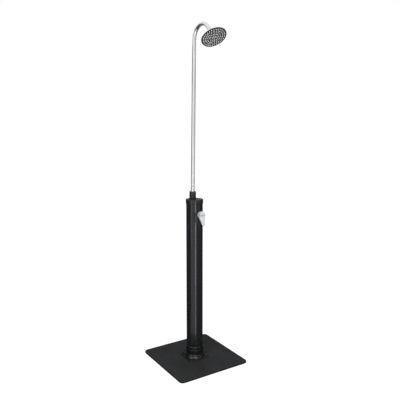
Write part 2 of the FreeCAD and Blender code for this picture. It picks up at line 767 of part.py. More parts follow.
def make_mixer_body():
    """Brass body behind the column's wall, its gasket and the nut that clamps it."""
    face_r = tube_bore_r - gasket_thick - face_gap
    barrel = put(rod(barrel_r, barrel_back, tube_r), TAP).common(column_round(face_r))
    body = barrel.fuse(put(rod(neck_tap_r, barrel_back, neck_tap_end), TAP))
    cold = rod_y(port_boss_r, -port_reach, 0, -port_x, port_depth)
    hot = rod_y(port_boss_r, 0, port_reach, port_x, port_depth)
    outlet = rod(port_boss_r, barrel_back - port_socket, barrel_back + 2.0, 0, -outlet_drop)
    body = body.fuse([put(shape, TAP) for shape in (cold, hot, outlet)]).removeSplitter()
    socket_start = port_reach - port_socket
    hollows = [
        rod(cartridge_r + face_gap, cartridge_floor, neck_tap_end),
        rod_y(hose_r + face_gap, -port_reach, -socket_start, -port_x, port_depth),
        rod_y(water_way_r, -socket_start, 4.0, -port_x, port_depth),
        rod(water_way_r, port_depth, cartridge_floor, -port_x, 3.5),
        rod_y(pickup_r + face_gap, socket_start, port_reach, port_x, port_depth),
        rod_y(water_way_r, 3.0, socket_start, port_x, port_depth),
        rod(water_way_r, port_depth, cartridge_floor, port_x, 3.5),
        rod(hose_r + face_gap, barrel_back - port_socket, barrel_back, 0, -outlet_drop),
        rod(water_way_r, barrel_back, cartridge_floor, 0, -outlet_drop)]
    node("mixer_body", body.cut([put(shape, TAP) for shape in hollows]))

    gasket = put(ring(barrel_r - seat_fit, neck_tap_r + seat_fit, tube_r / 2, tube_r), TAP)
    gasket = gasket.common(column_round(tube_bore_r - face_gap / 2))
    node("mixer_gasket", gasket.cut(column_round(face_r + face_gap / 2)))

    nut_low = pad_face
    node("clamp_nut", ring(locknut_r, neck_tap_r + face_gap, nut_low, nut_low + locknut_height), TAP)


def disc_ways(radius, low, high):
    """The three water ways through the discs: cold, hot and mixed."""
    return [rod(radius, low, high, -port_x + 0.5, 3.5), rod(radius, low, high, port_x - 0.5, 3.5),
            rod(radius, low, high, 0, -outlet_drop + 0.2)]


def make_cartridge():
    """Ceramic cartridge: housing, discs, slider, rotor, pin and the domed nut that holds it."""
    housing_low = cartridge_floor + face_gap
    floor = cartridge_floor + cartridge_base
    lip_low = cartridge_top - cartridge_lip
    housing = turned([
        (0, housing_low), (cartridge_r, housing_low), (cartridge_r, cartridge_top),
        (cartridge_mouth_r, cartridge_top), (cartridge_mouth_r, lip_low),
        (cartridge_bore_r, lip_low), (cartridge_bore_r, floor), (0, floor)])
    node("cartridge_housing", housing.cut(disc_ways(water_way_r - 0.4, housing_low, floor)), TAP)

    gasket = rod(disc_r, floor, floor + disc_gasket_thick)
    node("disc_gasket", gasket.cut(disc_ways(water_way_r - 0.4, floor, floor + disc_gasket_thick)),
         TAP)

    fixed_low = floor + disc_gasket_thick + face_gap
    fixed = rod(disc_r, fixed_low, fixed_low + disc_thick)
    node("fixed_disc", fixed.cut(disc_ways(water_way_r - 0.4, fixed_low, fixed_low + disc_thick)),
         TAP)

    moving_low = fixed_low + disc_thick + face_gap
    half_travel = disc_travel / 2.0
    moving = rod(moving_disc_r, moving_low, moving_low + disc_thick, 0, half_travel)
    mixing_pocket = rod(moving_disc_r - 2.6, moving_low, moving_low + disc_thick / 2.0, 0, half_travel)
    node("moving_disc", moving.cut(mixing_pocket), TAP)

    slider_low = moving_low + disc_thick
    slider_top = slider_low + slider_thick
    slider = rod(moving_disc_r, slider_low, slider_top, 0, half_travel)
    slider = slider.common(block(slider_half_width, BIG, slider_low, slider_top))
    socket = rod(spindle_ball_r + turn_fit + face_gap, slider_low, slider_top)
    node("disc_slider", slider.cut(socket), TAP)

    rotor_low = slider_low + turn_fit
    channel_top = slider_top + turn_fit
    rotor = rod(disc_r, rotor_low, rotor_top)
    rotor = rotor.cut(block(slider_half_width + turn_fit, BIG, rotor_low, channel_top))
    swing = math.radians(lift_limit)
    rise = rotor_top - pivot_at
    slot_half = rise * math.tan(swing) + spindle_side / 2.0 / math.cos(swing) + 1.0
    rotor = rotor.cut(block(spindle_side / 2.0 + turn_fit, slot_half, channel_top, rotor_top))
    pin_hole = Part.makeCylinder(pivot_pin_r + face_gap / 4, BIG, Vector(-BIG / 2, 0, pivot_at),
                                 Vector(1, 0, 0))
    node("cartridge_rotor", rotor.cut(pin_hole), TAP)
    pin = Part.makeCylinder(pivot_pin_r, pivot_pin_length,
                            Vector(-pivot_pin_length / 2, 0, pivot_at), Vector(1, 0, 0))
    node("pivot_pin", pin, TAP)

    dome = Part.makeSphere(dome_nut_r, Vector(0, 0, pivot_at))
    dome_low = pad_face + locknut_height + turn_fit
    dome = dome.common(rod(dome_nut_r, dome_low, dome_nut_top))
    dome = dome.cut(rod(neck_tap_r + face_gap, dome_low, neck_tap_end + seat_fit))
    dome = dome.cut(rod(cartridge_r + seat_fit, neck_tap_end, cartridge_top + face_gap))
    mouth = Part.makeCone(cartridge_mouth_r + 0.7, cartridge_mouth_r + 3.7,
                          dome_nut_top - cartridge_top, Vector(0, 0, cartridge_top))
    node("cartridge_nut", dome.cut(mouth), TAP)


def half_space(rise, out, angle):
    """Everything above a plane across the tap, at a height and distance out, in its frame."""
    box = Part.makeBox(BIG, BIG, BIG, Vector(-BIG / 2, -BIG / 2, 0))
    return put(box, Placement(Vector(0, rise, out), Rotation(Vector(1, 0, 0), angle)))


def blade_section(drop, out, width, thick):
    """Cross-section of the blade: flat in front, with bevels along its sides."""
    half = width / 2.0
    bevel = blade_bevel * thick
    front = thick / 2.0
    wire = outline([(-half, -front, blade_corner_r), (half, -front, blade_corner_r),
                    (half, front - bevel, blade_corner_r), (half - bevel, front, blade_corner_r),
                    (bevel - half, front, blade_corner_r), (-half, front - bevel, blade_corner_r)],
                   lambda p: p)
    wire.Placement = Placement(Vector(0, -drop, out), Rotation(Vector(1, 0, 0), 90 - blade_slope))
    return wire


def step_above_blade():
    """What is cut from the hood's front so that the blade's flat face starts at a level step."""
    lean = math.radians(blade_slope)
    corners = []
    for drop, out, _, thick in (blade_root, blade_tip):
        front = thick / 2.0
        corners.append(Vector(-hood_r, front * math.sin(lean) - drop, out + front * math.cos(lean)))
    root, tip = corners
    start = root + (tip - root) * ((root.y + hood_step_drop) / (root.y - tip.y))
    ahead = Vector(0, 0, hood_front)
    face = Part.Face(Part.makePolygon([start, start + ahead, tip + ahead, tip, start]))
    return face.extrude(Vector(2 * hood_r, 0, 0))


def make_handle():
    """Spindle, and the lever with its round hood, held by a grub screw under a plug."""
    half = spindle_side / 2.0
    spindle = block(half, half, pivot_at - 5.0, spindle_end)
    spindle = spindle.makeFillet(0.6, edges_at(spindle, spindle_end))
    ball_at = pivot_at - pivot_arm
    spindle = spindle.fuse(rod(spindle_neck_r, ball_at, pivot_at - 5.0))
    spindle = spindle.fuse(Part.makeSphere(spindle_ball_r, Vector(0, 0, ball_at)))
    pin_hole = Part.makeCylinder(pivot_pin_r + running_fit, BIG, Vector(-BIG / 2, 0, pivot_at),
                                 Vector(1, 0, 0))
    node("lever_spindle", spindle.cut(pin_hole), TAP)

    relief = math.tan(math.radians(hood_relief))
    skirt = hood_back - hood_r * relief
    outside = turned([(0, skirt), (hood_r, skirt), (hood_r, hood_front, hood_edge_r), (0, hood_front)])
    outside = outside.cut(half_space(0, hood_back, 180.0 + hood_relief))
    outside = outside.cut(half_space(hood_face_rise, hood_front, -hood_slant))
    inside_r = hood_r - hood_wall
    ceiling = hood_front - 4.3
    inside = turned([(0, skirt), (inside_r, skirt), (inside_r, ceiling - 9.0),
                     (inside_r - 9.0, ceiling), (0, ceiling)])
    outside = outside.cut(step_above_blade())
    blade = Part.makeLoft([blade_section(*place) for place in (blade_root, blade_tip, blade_end)],
                          True, True)
    lever = outside.fuse(blade).cut(inside)
    lever = lever.fuse(rod(boss_r, boss_back, ceiling))
    lever = lever.cut(block(half + running_fit, half + running_fit, boss_back, spindle_end + face_gap))
    radial = Placement(Vector(0, 0, grub_at), Rotation(Vector(0, 0, 1), grub_angle)).multiply(
        Placement(Vector(0, 0, 0), Rotation(Vector(0, 1, 0), 90)))
    bore = put(rod(grub_r + face_gap, half, 2 * hood_r), radial)
    node("lever_handle", lever.cut(bore), TAP)

    aim = math.radians(grub_angle)
    screw_start = half * (abs(math.cos(aim)) + abs(math.sin(aim))) + face_gap
    node("grub_screw", put(rod(grub_r, screw_start, screw_start + grub_length), radial), TAP)
    plug_end = hood_r - 0.4
    node("handle_plug", put(rod(grub_r, plug_end - 2.0, plug_end), radial), TAP)


# ---- Water ways inside the column ---------------------------------------------------------
def make_inlet():
    """Threaded inlet, its washers and the tee inside, which feeds the column and the tap."""
    washer_face = tube_r + inlet_washer_thick
    hex_top = washer_face + inlet_hex_height
    thread_end = hex_top + inlet_thread_length
    shank_end = tube_bore_r - 16.0
    nipple = turned([
        (inlet_bore_r, shank_end), (inlet_shank_r, shank_end, 0.6), (inlet_shank_r, hex_top),
        (inlet_thread_r, hex_top), (inlet_thread_r, thread_end, 1.0), (inlet_bore_r, thread_end)])
    collar = hexagon(inlet_flats, washer_face, hex_top).cut(rod(inlet_shank_r - 1, washer_face, hex_top))
    node("inlet_nipple", nipple.fuse(collar).removeSplitter(), INLET)

    tee_face = tube_bore_r - 3.0
    outer_washer = put(ring(inlet_washer_r, inlet_shank_r + seat_fit, tube_r / 2,
                            washer_face - face_gap / 2), INLET).cut(column_round(tube_r + face_gap / 2))
    inner_washer = put(ring(tee_r, inlet_shank_r + seat_fit, tee_face + face_gap / 2, tube_r),
                       INLET).common(column_round(tube_bore_r - face_gap / 2))
    node("inlet_washers", [outer_washer, inner_washer])

    tee = rod(tee_r, tee_end, tee_face).fuse(rod_y(port_boss_r, 0, tee_branch_height, 0, tee_branch_at))
    branch_socket = tee_branch_height - port_socket
    tee = tee.cut([
        rod(inlet_shank_r + face_gap, shank_end - 2.0, tee_face),
        rod(inlet_bore_r, tee_end, tee_face),
        rod_y(hose_bore_r, 0, tee_branch_height, 0, tee_branch_at),
        rod_y(hose_r + face_gap, branch_socket, tee_branch_height, 0, tee_branch_at)])
    node("inlet_tee", put(tee, Placement(Vector(0, 0, 0), Rotation(Vector(0, 0, 1), 180))), INLET)


def make_drain():
    """Drain plug with its washer and the nut inside, for emptying the column."""
    washer_face = tube_r + inlet_washer_thick
    head_top = washer_face + drain_head_height
    nut_face = tube_bore_r - 2.0
    tip = nut_face - drain_bore_depth / 2
    node("drain_plug", turned([
        (0, tip), (drain_shank_r, tip, 1.0), (drain_shank_r, washer_face),
        (drain_head_r, washer_face), (drain_head_r, head_top, 2.0), (0, head_top)]), DRAIN)
    washer = put(ring(drain_head_r, drain_shank_r + seat_fit, tube_r / 2,
                      washer_face - face_gap / 2), DRAIN)
    node("drain_washer", washer.cut(column_round(tube_r + face_gap / 2)))
    nut = hexagon(drain_nut_flats, nut_face - drain_nut_height, nut_face)
    node("drain_nut", nut.cut(rod(drain_shank_r + face_gap, nut_face - drain_nut_height, nut_face)),
         DRAIN)


def make_hoses():
    """Cold feed from the tee to the tap, warm pick-up and the outlet to the gland."""
    socket_stop = port_reach - port_socket + face_gap
    tap_y = -port_depth
    hose_end = Vector(-port_x, tap_y, tap_height - socket_stop)
    hose_start = Vector(0, tee_branch_at, inlet_height + tee_branch_height - port_socket + face_gap)
    knee_low = Vector(0, tee_branch_at, tap_height - 220.0)
    knee_high = Vector(-port_x, tap_y, tap_height - 80.0)
    node("cold_hose", pipe([hose_start, knee_low, knee_high, hose_end], [110.0, 110.0],
                           hose_r, hose_bore_r))

    pickup = ring(pickup_r, pickup_bore_r, tap_height + socket_stop, tube_end - pickup_stop,
                  port_x, tap_y)
    node("warm_pickup", pickup)

    outlet_z = tap_height - outlet_drop
    socket_top = RISER.multVec(Vector(0, 0, -gland_shank_depth - 5.0 - face_gap))
    rise = socket_top.z - outlet_z
    knee = Vector(0, socket_top.y + rise * math.tan(math.radians(riser_lean)), outlet_z)
    outlet_start = Vector(0, -barrel_back + face_gap, outlet_z)
    node("outlet_pipe", pipe([outlet_start, knee, socket_top], [22.0], hose_r, hose_bore_r))


# ---- Build --------------------------------------------------------------------------------
def build():
    """Make every node and write one file for each."""
    make_base()
    make_foot_flange()
    make_foot_fixings()
    make_column()
    riser_start = make_gland()
    make_riser(riser_start)
    make_ball_joint()
    make_head()
    make_saddle()
    make_mixer_body()
    make_cartridge()
    make_handle()
    make_inlet()
    make_drain()
    make_hoses()
    os.makedirs("parts", exist_ok=True)
    for name, shape in nodes.items():
        shape.exportStep("parts/" + name + ".step")
        print(name, len(shape.Solids), "solids", round(shape.Volume), "mm3", shape.isValid())


build()
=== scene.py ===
"""Looks of an outdoor shower post.

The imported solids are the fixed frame. Each class below dresses one sub-assembly of the shower:
it gives the frame's nodes their finishes and models the fine pieces that the solids leave out.
Everything is in metres, +Z up, with the tap and the head on the -Y side.
"""

import logging
import math
from collections.abc import Callable
from dataclasses import dataclass
from enum import Enum
from typing import ClassVar

import bpy
from mathutils import Matrix, Vector

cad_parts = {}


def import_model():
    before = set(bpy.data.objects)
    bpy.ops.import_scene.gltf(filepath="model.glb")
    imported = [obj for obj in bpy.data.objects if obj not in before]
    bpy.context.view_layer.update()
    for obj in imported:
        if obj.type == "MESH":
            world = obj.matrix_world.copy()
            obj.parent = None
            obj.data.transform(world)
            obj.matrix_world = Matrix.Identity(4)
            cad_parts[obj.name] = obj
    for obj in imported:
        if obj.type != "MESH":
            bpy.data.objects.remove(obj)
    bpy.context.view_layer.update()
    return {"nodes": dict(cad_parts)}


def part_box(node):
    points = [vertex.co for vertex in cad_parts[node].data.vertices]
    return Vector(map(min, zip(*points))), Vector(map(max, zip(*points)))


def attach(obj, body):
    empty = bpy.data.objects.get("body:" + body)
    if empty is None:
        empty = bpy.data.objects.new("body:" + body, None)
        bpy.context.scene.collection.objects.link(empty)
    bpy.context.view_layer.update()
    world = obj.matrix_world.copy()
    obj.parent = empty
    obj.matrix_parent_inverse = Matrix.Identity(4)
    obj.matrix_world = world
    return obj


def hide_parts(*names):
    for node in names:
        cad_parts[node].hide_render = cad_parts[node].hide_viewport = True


LOG = logging.getLogger("shower_post")
Piece = bpy.types.Object
Socket = bpy.types.NodeSocket
Triple = tuple[float, float, float]


class Body(Enum):
    """The bodies of the frame that new pieces ride on."""

    POST = "post"
    HEAD = "head"


class Slot(Enum):
    """Material slots of the record; the new pieces here get their finish directly, not through
    these.
    """

    BOLT_STEEL = "bolt_steel"
    BRASS = "brass"
    NOZZLE_RUBBER = "nozzle_rubber"
    PLUG_BLACK = "plug_black"


class Pattern(Enum):
    """How the fine relief of a finish runs."""

    GRAIN = "grain"
    TURNED = "turned"
    DRAWN = "drawn"


# ---- Node helpers ----
class Recipe:
    """Builds the node tree of one material, a step at a time."""

    # The range that nearly all of a noise lies in.
    NOISE_LOW = 0.3
    NOISE_HIGH = 0.7

    def __init__(self, name: str) -> None:
        """Start a material.

        Args:
            name: The material's name.
        """
        self.material = bpy.data.materials.new(name)
        self.material.use_nodes = True
        self.tree = self.material.node_tree
        self.shader = self.tree.nodes["Principled BSDF"]

    def node(self, kind: str, **settings: object) -> bpy.types.Node:
        """Add a node.

        Args:
            kind: The node's type name.
            **settings: Attributes to set on it.

        Returns:
            The new node.
        """
        made = self.tree.nodes.new(kind)
        for key, value in settings.items():
            setattr(made, key, value)
        return made

    def join(self, source: Socket, target: Socket) -> None:
        """Link two sockets."""
        self.tree.links.new(source, target)

    def set(self, **values: object) -> None:
        """Set plain values on the shader's own sockets, with underscores for spaces."""
        for key, value in values.items():
            self.shader.inputs[key.replace("_", " ")].default_value = value

    def place(self, scale: Triple = (1.0, 1.0, 1.0)) -> Socket:
        """Object coordinates, stretched along the axes.

        Args:
            scale: Stretch along each axis.

        Returns:
            The vector socket.
        """
        coordinates = self.node("ShaderNodeTexCoord")
        mapping = self.node("ShaderNodeMapping", vector_type="POINT")
        mapping.inputs["Scale"].default_value = scale
        self.join(coordinates.outputs["Object"], mapping.inputs["Vector"])
        return mapping.outputs["Vector"]

    def noise(self, vector: Socket, scale: float, detail: float = 2.0,
              roughness: float = 0.5) -> Socket:
        """Noise on a vector.

        Args:
            vector: Where the noise is read.
            scale: Cells per metre.
            detail: Number of finer layers.
            roughness: Weight of the finer layers.

        Returns:
            The noise's value socket.
        """
        made = self.node("ShaderNodeTexNoise")
        made.inputs["Scale"].default_value = scale
        made.inputs["Detail"].default_value = detail
        made.inputs["Roughness"].default_value = roughness
        self.join(vector, made.inputs["Vector"])
        return made.outputs["Fac"]

    def spread(self, value: Socket, low: float, high: float) -> Socket:
        """Map the usual range of a noise onto another range.

        Args:
            value: The noise.
            low: Result at the low end.
            high: Result at the high end.

        Returns:
            The mapped value.
        """
        made = self.node("ShaderNodeMapRange")
        made.inputs["From Min"].default_value = self.NOISE_LOW
        made.inputs["From Max"].default_value = self.NOISE_HIGH
        made.inputs["To Min"].default_value = low
        made.inputs["To Max"].default_value = high
        self.join(value, made.inputs["Value"])
        return made.outputs["Result"]

    def above(self, value: Socket, low: float, high: float) -> Socket:
        """Fade a value in between two heights.

        Args:
            value: The value to fade.
            low: Height below which it is 0.
            high: Height above which it is whole.

        Returns:
            The faded value.
        """
        split = self.node("ShaderNodeSeparateXYZ")
        self.join(self.place(), split.inputs["Vector"])
        ramp = self.node("ShaderNodeMapRange")
        ramp.inputs["From Min"].default_value = low
        ramp.inputs["From Max"].default_value = high
        self.join(split.outputs["Z"], ramp.inputs["Value"])
        faded = self.node("ShaderNodeMath", operation="MULTIPLY")
        self.join(ramp.outputs["Result"], faded.inputs[0])
        self.join(value, faded.inputs[1])
        return faded.outputs[0]

    def blend(self, factor: Socket, first: Triple, second: Triple) -> Socket:
        """Mix two colours by a factor.

        Args:
            factor: 0 gives the first colour and 1 the second.
            first: Linear colour.
            second: Linear colour.

        Returns:
            The colour socket.
        """
        made = self.node("ShaderNodeMix", data_type="RGBA")
        inputs = {socket.identifier: socket for socket in made.inputs}
        inputs["A_Color"].default_value = (*first, 1.0)
        inputs["B_Color"].default_value = (*second, 1.0)
        self.join(factor, inputs["Factor_Float"])
        return {socket.identifier: socket for socket in made.outputs}["Result_Color"]

    def relief(self, height: Socket, depth: float) -> Socket:
        """Bump from a height.

        Args:
            height: Values from 0 to 1.
            depth: Metres between 0 and 1.

        Returns:
            The normal socket.
        """
        made = self.node("ShaderNodeBump")
        made.inputs["Distance"].default_value = depth
        made.inputs["Strength"].default_value = 1.0
        self.join(height, made.inputs["Height"])
        return made.outputs["Normal"]

    def shade(self, colour: Socket | None = None, roughness: Socket | None = None,
              normal: Socket | None = None) -> bpy.types.Material:
        """Link what varies over the surface into the shader.

        Args:
            colour: Base colour.
            roughness: Roughness.
            normal: Normal.

        Returns:
            The finished material.
        """
        wires = ((colour, "Base Color"), (roughness, "Roughness"), (normal, "Normal"))
        for source, name in wires:
            if source is not None:
                self.join(source, self.shader.inputs[name])
        return self.material


# ---- Finishes ----
def tinted(colour: Triple, share: float) -> Triple:
    """A colour with each channel times a share."""
    return tuple(channel * share for channel in colour)


@dataclass(frozen=True)
class Coating:
    """Paint, powder coat or moulded skin over a solid: colour, grain and soft shine.

    Attributes:
        name: The material's name.
        colour: Linear base colour.
        roughness: Middle roughness.
        grain: Size of the relief's cells, in metres.
        depth: Height of the relief, in metres.
        shine: Specular level.
        tone: Share by which the colour varies in broad clouds.
        shade_painted_below: Height below which painted shade darkens the colour, standing in for
            the shaded side walls so that the top reads lighter; none if 0.
    """

    name: str
    colour: Triple
    roughness: float
    grain: float = 0.0012
    depth: float = 0.00001
    shine: float = 0.5
    tone: float = 0.08
    shade_painted_below: float = 0.0

    # Cells per metre of the noises, and what they change.
    CLOUDS: ClassVar[float] = 9.0
    SMEARS: ClassVar[float] = 45.0
    SMEAR_ROUGHNESS: ClassVar[float] = 0.04
    # Painted shade of the side walls: how dark they are painted, the least share of the lighter
    # top, and how the line between them fades.
    PAINTED_SHADE_TINT: ClassVar[float] = 0.3
    LIT_TOP_LEAST: ClassVar[float] = 0.65
    PAINTED_SHADE_FADE: ClassVar[tuple[float, float]] = (0.003, 0.001)

    def make(self) -> bpy.types.Material:
        """Build the material.

        Returns:
            The material.
        """
        recipe = Recipe(self.name)
        recipe.set(Specular_IOR_Level=self.shine)
        place = recipe.place()
        cloud = recipe.noise(place, self.CLOUDS, detail=3.0)
        # Painted shade: below the given height the colour is darkened to stand in for the shade
        # on the side walls, while the top keeps the lighter colour.
        if self.shade_painted_below > 0.0:
            dark = tinted(self.colour, self.PAINTED_SHADE_TINT)
            below, over = self.PAINTED_SHADE_FADE
            factor = recipe.above(recipe.spread(cloud, self.LIT_TOP_LEAST, 1.0),
                                  self.shade_painted_below - below, self.shade_painted_below + over)
        else:
            dark = tinted(self.colour, 1.0 - self.tone)
            factor = recipe.spread(cloud, 0.0, 1.0)
        colour = recipe.blend(factor, dark, tinted(self.colour, 1.0 + self.tone))
        fine = recipe.noise(place, 1.0 / self.grain, roughness=0.6)
        rough = recipe.spread(recipe.noise(place, self.SMEARS, detail=4.0),
                              self.roughness - self.SMEAR_ROUGHNESS,
                              self.roughness + self.SMEAR_ROUGHNESS)
        return recipe.shade(colour, rough, recipe.relief(fine, self.depth))


@dataclass(frozen=True)
class Metal:
    """Bare or plated metal with the fine lines of how it was made.

    Attributes:
        name: The material's name.
        colour: Linear reflection colour.
        roughness: Middle roughness.
        pattern: Grain, lines round an upright axis, or lines drawn along it.
        spacing: Distance between the lines, in metres.
        depth: Height of the lines, in metres.
        metallic: Share of bare metal, less for a satin plating.
    """

    name: str
    colour: Triple
    roughness: float
    pattern: Pattern = Pattern.GRAIN
    spacing: float = 0.0006
    depth: float = 0.000002
    metallic: float = 1.0

    # Cells per metre of the smears, and what they change.
    SMEARS: ClassVar[float] = 28.0
    WIPED: ClassVar[float] = 0.75
    SMEARED: ClassVar[float] = 1.35
    DULL_TINT: ClassVar[float] = 0.93

    def make(self) -> bpy.types.Material:
        """Build the material.

        Returns:
            The material.
        """
        recipe = Recipe(self.name)
        recipe.set(Metallic=self.metallic)
        stretch = {
            Pattern.GRAIN: (1.0, 1.0, 1.0),
            Pattern.TURNED: (0.02, 0.02, 1.0),
            Pattern.DRAWN: (1.0, 1.0, 0.01),
        }[self.pattern]
        lines = recipe.noise(recipe.place(stretch), 1.0 / self.spacing, detail=1.0)
        smear = recipe.noise(recipe.place(), self.SMEARS, detail=4.0, roughness=0.55)
        rough = recipe.spread(smear, self.roughness * self.WIPED, self.roughness * self.SMEARED)
        colour = recipe.blend(recipe.spread(smear, 0.0, 1.0), self.colour,
                              tinted(self.colour, self.DULL_TINT))
        return recipe.shade(colour, rough, recipe.relief(lines, self.depth))


@dataclass(frozen=True)
class Soft:
    """Rubber or silicone with a faint bloom.

    Attributes:
        name: The material's name.
        colour: Linear base colour.
        roughness: Middle roughness.
        bloom: Colour of the pale film on it.
    """

    name: str
    colour: Triple
    roughness: float = 0.65
    bloom: Triple = (0.12, 0.12, 0.12)

    # Cells per metre of the noises, and what they change.
    FILM: ClassVar[float] = 60.0
    FILM_MOST: ClassVar[float] = 0.25
    PATCHES: ClassVar[float] = 220.0
    PATCH_ROUGHNESS: ClassVar[float] = 0.06
    PORES: ClassVar[float] = 1400.0
    PORE_DEPTH: ClassVar[float] = 0.00002

    def make(self) -> bpy.types.Material:
        """Build the material.

        Returns:
            The material.
        """
        recipe = Recipe(self.name)
        recipe.set(Specular_IOR_Level=0.35, Sheen_Weight=0.05)
        place = recipe.place()
        film = recipe.spread(recipe.noise(place, self.FILM, detail=4.0), 0.0, self.FILM_MOST)
        colour = recipe.blend(film, self.colour, self.bloom)
        rough = recipe.spread(recipe.noise(place, self.PATCHES),
                              self.roughness - self.PATCH_ROUGHNESS,
                              self.roughness + self.PATCH_ROUGHNESS)
        fine = recipe.noise(place, self.PORES)
        return recipe.shade(colour, rough, recipe.relief(fine, self.PORE_DEPTH))


@dataclass(frozen=True)
class Ceramic:
    """Lapped alumina, faintly mottled and very smooth.

    Attributes:
        name: The material's name.
        colour: Linear base colour.
    """

    name: str
    colour: Triple

    # Cells per metre of the noises, and what they change.
    MOTTLES: ClassVar[float] = 900.0
    MOTTLE_TINT: ClassVar[float] = 0.94
    LAPPING: ClassVar[float] = 300.0
    ROUGHNESS: ClassVar[tuple[float, float]] = (0.12, 0.2)

    def make(self) -> bpy.types.Material:
        """Build the material.

        Returns:
            The material.
        """
        recipe = Recipe(self.name)
        recipe.set(Coat_Weight=0.4, Coat_Roughness=0.05)
        mottle = recipe.spread(recipe.noise(recipe.place(), self.MOTTLES, detail=3.0), 0.0, 1.0)
        second = tinted(self.colour, self.MOTTLE_TINT)
        rough = recipe.spread(recipe.noise(recipe.place(), self.LAPPING), *self.ROUGHNESS)
        return recipe.shade(recipe.blend(mottle, self.colour, second), rough)


Finish = Coating | Metal | Soft | Ceramic


@dataclass(frozen=True)
class Finishes:
    """All the finishes of the shower, made once and shared."""

    # The base coat has painted shade: its side walls below 12 mm are painted darker than its top.
    base_coat: Coating = Coating("base_powder_coat", (0.019, 0.020, 0.021), 0.60, grain=0.0016,
                                 depth=0.00010, shine=0.20, tone=0.18, shade_painted_below=0.012)
    flange_coat: Coating = Coating("flange_satin_coat", (0.0030, 0.0032, 0.0036), 0.24,
                                   grain=0.0020, shine=1.0, tone=0.10)
    column_skin: Coating = Coating("column_satin_black", (0.0075, 0.008, 0.0095), 0.15,
                                   grain=0.0030, depth=0.000006)
    cap_skin: Coating = Coating("cap_satin_black", (0.0075, 0.008, 0.009), 0.20, grain=0.0016)
    gland_skin: Coating = Coating("gland_satin_black", (0.008, 0.0083, 0.0090), 0.34,
                                  depth=0.00002)
    saddle_skin: Coating = Coating("saddle_satin_black", (0.006, 0.0063, 0.0070), 0.36)
    black_moulding: Coating = Coating("black_moulding", (0.016, 0.016, 0.017), 0.48,
                                      grain=0.0010, depth=0.00003, tone=0.10)
    nozzle_plate_skin: Coating = Coating("nozzle_plate_grey", (0.035, 0.035, 0.037), 0.36,
                                         grain=0.0010)
    white_plastic: Coating = Coating("white_plastic", (0.62, 0.62, 0.60), 0.42, grain=0.0010,
                                     tone=0.04)
    hose_plastic: Coating = Coating("hose_plastic", (0.52, 0.54, 0.54), 0.35, tone=0.05)
    plug_plastic: Coating = Coating("plug_grey_plastic", (0.02, 0.02, 0.022), 0.45,
                                    grain=0.0006, tone=0.05)
    chrome: Metal = Metal("chrome_plate", (0.74, 0.75, 0.77), 0.11, depth=0.0000005)
    riser_chrome: Metal = Metal("riser_polished_tube", (0.78, 0.78, 0.79), 0.17, Pattern.DRAWN,
                                depth=0.0000004)
    lever_chrome: Metal = Metal("satin_chrome_lever", (0.60, 0.605, 0.62), 0.18,
                                depth=0.0000005, metallic=0.55)
    bolt_steel: Metal = Metal("stainless_fixings", (0.15, 0.15, 0.16), 0.36)
    zinc: Metal = Metal("zinc_plated_sheet", (0.50, 0.52, 0.54), 0.42, spacing=0.004,
                        depth=0.00002)
    brass: Metal = Metal("machined_brass", (0.78, 0.58, 0.26), 0.26, Pattern.TURNED)
    seal_rubber: Soft = Soft("seal_rubber", (0.014, 0.014, 0.015))
    foot_rubber: Soft = Soft("foot_rubber", (0.020, 0.020, 0.021), 0.75)
    nozzle_silicone: Soft = Soft("nozzle_silicone", (0.56, 0.56, 0.57), 0.5,
                                 bloom=(0.62, 0.62, 0.63))
    ceramic: Ceramic = Ceramic("lapped_alumina", (0.80, 0.78, 0.73))


class Wardrobe:
    """Makes each finish once and lays it on pieces and nodes."""

    def __init__(self, nodes: dict[str, Piece]) -> None:
        """Keep the frame's nodes.

        Args:
            nodes: The frame's nodes by name.
        """
        self.nodes = nodes
        self.made: dict[str, bpy.types.Material] = {}
        self.finishes = Finishes()

    def material(self, finish: Finish) -> bpy.types.Material:
        """The finish's material, made at its first use.

        Args:
            finish: The finish.

        Returns:
            The material.
        """
        if finish.name not in self.made:
            self.made[finish.name] = finish.make()
        return self.made[finish.name]

    def dress(self, finish: Finish, *names: str) -> None:
        """Give nodes a finish.

        Args:
            finish: The finish.
            *names: Node names.
        """
        for name in names:
            self.wear(self.nodes[name], finish)
            LOG.info("dressed %s in %s", name, finish.name)

    def wear(self, piece: Piece, finish: Finish) -> None:
        """Put one finish in all the slots of a piece.

        Args:
            piece: The piece.
            finish: The finish.
        """
        material = self.material(finish)
        slots = piece.data.materials
        if not slots:
            slots.append(material)
        for index in range(len(slots)):
            slots[index] = material


# ---- Studio ----
@dataclass
class Softbox:
    """One area lamp aimed at a point.

    Attributes:
        name: The lamp's name.
        place: Where it stands.
        target: What it is aimed at.
        width: Its width.
        height: Its height.
        power: Its power in watts.
    """

    name: str
    place: Triple
    target: Triple
    width: float
    height: float
    power: float

    def build(self) -> None:
        """Add the lamp."""
        lamp = bpy.data.lights.new(self.name, "AREA")
        lamp.shape = "RECTANGLE"
        lamp.size = self.width
        lamp.size_y = self.height
        lamp.energy = self.power
        holder = bpy.data.objects.new(self.name, lamp)
        bpy.context.collection.objects.link(holder)
        aim = Vector(self.target) - Vector(self.place)
        holder.location = self.place
        holder.rotation_euler = aim.to_track_quat("-Z", "Y").to_euler()
        holder.visible_glossy = False
        LOG.info("lit %s", self.name)


